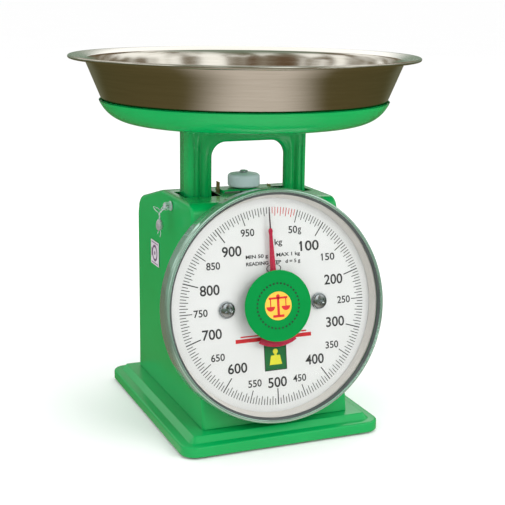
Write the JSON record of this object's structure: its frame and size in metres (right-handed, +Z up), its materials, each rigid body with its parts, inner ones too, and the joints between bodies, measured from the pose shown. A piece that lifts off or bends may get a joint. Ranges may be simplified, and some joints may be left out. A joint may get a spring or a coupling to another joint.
{
  "type": "dial platform scale",
  "caption": "Mechanical spring dial scale with a round leaning dial, a folded metal body on a stepped base, an inverted-U yoke and a round removable steel pan.",
  "frame": {"origin": "on the pan axis, at the surface the rubber feet stand on", "axes": "+Z up along the pan axis; the dial faces -Y; +X to the right of a person reading the dial"},
  "size_m": [0.2, 0.2, 0.2122],
  "materials": {
    "green_paint": "gloss",
    "label_green": "gloss",
    "rubber": "matte",
    "zinc_steel": "satin",
    "spring_steel": "satin",
    "stainless": "polished",
    "chrome": "polished",
    "glass": "clear",
    "dial_white": "satin",
    "cream_ring": "satin",
    "pointer_red": "gloss",
    "brass": "satin",
    "knob_grey": "satin",
    "lead": "dull",
    "label_paper": "matte"
  },
  "bodies": {
    "housing": {"base_plate": "green_paint", "bearing_plate_front": "brass", "bearing_plate_rear": "brass", "bezel_ring": "chrome", "centre_label": "label_green", "cover_bracket_left": "zinc_steel", "cover_bracket_right": "zinc_steel", "cover_screw_1": "zinc_steel", "cover_screw_2": "zinc_steel", "cover_screw_3": "zinc_steel", "cover_screw_4": "zinc_steel", "dial_case": "green_paint", "dial_glass": "glass", "dial_plate": "dial_white", "dial_screw_left": "zinc_steel", "dial_screw_right": "zinc_steel", "dial_washer_left": "zinc_steel", "dial_washer_right": "zinc_steel", "housing_shell": "green_paint", "lever_pivot_pin_lower": "zinc_steel", "lever_pivot_pin_upper": "zinc_steel", "movement_pillar_1": "zinc_steel", "movement_pillar_2": "zinc_steel", "movement_pillar_3": "zinc_steel", "movement_pillar_4": "zinc_steel", "rear_cover": "green_paint", "rear_post": "zinc_steel", "rubber_foot_front_left": "rubber", "rubber_foot_front_right": "rubber", "rubber_foot_rear_left": "rubber", "rubber_foot_rear_right": "rubber", "seal_bolt": "zinc_steel", "side_label": "label_paper", "spacer_ring": "cream_ring", "spindle_bracket": "green_paint"},
    "pan": {"weighing_pan": "stainless"},
    "yoke": {"yoke": "green_paint", "pan_carrier": "green_paint", "carrier_nut_left": "zinc_steel", "carrier_nut_right": "zinc_steel", "lower_crossbar": "zinc_steel", "rack": "brass", "rack_arm": "zinc_steel", "yoke_pin_upper": "zinc_steel", "yoke_pin_lower": "zinc_steel"},
    "pointer": {"pointer": "pointer_red", "pointer_hub": "brass", "pointer_shaft": "zinc_steel", "pinion": "brass"},
    "lever_upper": {"guide_lever_upper": "zinc_steel"},
    "lever_lower": {"guide_lever_lower": "zinc_steel"},
    "knob": {"zero_knob": "knob_grey", "knob_screw": "zinc_steel", "zero_spindle": "zinc_steel"},
    "hanger": {"hanger_bar": "zinc_steel", "spring_left": "spring_steel", "spring_right": "spring_steel"},
    "seal": {"seal_wire": "zinc_steel", "lead_seal": "lead"}
  },
  "joints": [
    {"name": "load_travel", "type": "slide", "parent": "housing", "child": "yoke", "axis": [0, 0, -1], "range_m": [0, 0.0143], "stiffness_N_per_m": 686, "springref_m": -0.0089, "deforming": ["spring_left", "spring_right"]},
    {"name": "pan_lift", "type": "slide", "parent": "yoke", "child": "pan", "axis": [0, 0, 1], "range_m": [0, 0.06]},
    {"name": "pointer_spin", "type": "hinge", "parent": "housing", "child": "pointer", "pos_m": [0, -0.0462, 0.0761], "axis": [0, 0.9871, -0.1599], "range_deg": [0, 361]},
    {"name": "upper_lever_swing", "type": "hinge", "parent": "housing", "child": "lever_upper", "pos_m": [0, 0.052, 0.105], "axis": [1, 0, 0], "range_deg": [0, 17.98]},
    {"name": "lower_lever_swing", "type": "hinge", "parent": "housing", "child": "lever_lower", "pos_m": [0, 0.052, 0.038], "axis": [1, 0, 0], "range_deg": [0, 17.98]},
    {"name": "zero_turn", "type": "hinge", "parent": "housing", "child": "knob", "pos_m": [0, 0, 0.14], "axis": [0, 0, 1], "range_deg": [-360, 360]},
    {"name": "hanger_rise", "type": "slide", "parent": "housing", "child": "hanger", "axis": [0, 0, 1], "range_m": [-0.0007, 0.0007]},
    {"name": "seal_swing", "type": "hinge", "parent": "housing", "child": "seal", "pos_m": [-0.0473, 0, 0.1272], "axis": [0, 1, 0], "range_deg": [-12, 75]}
  ],
  "couplings": [
    {"joint": "pointer_spin", "follows": "load_travel", "rad_per_m": 439.38},
    {"joint": "upper_lever_swing", "follows": "load_travel", "rad_per_m": 21.828},
    {"joint": "lower_lever_swing", "follows": "load_travel", "rad_per_m": 21.828},
    {"joint": "zero_turn", "follows": "hanger_rise", "rad_per_m": 8975.9}
  ]
}
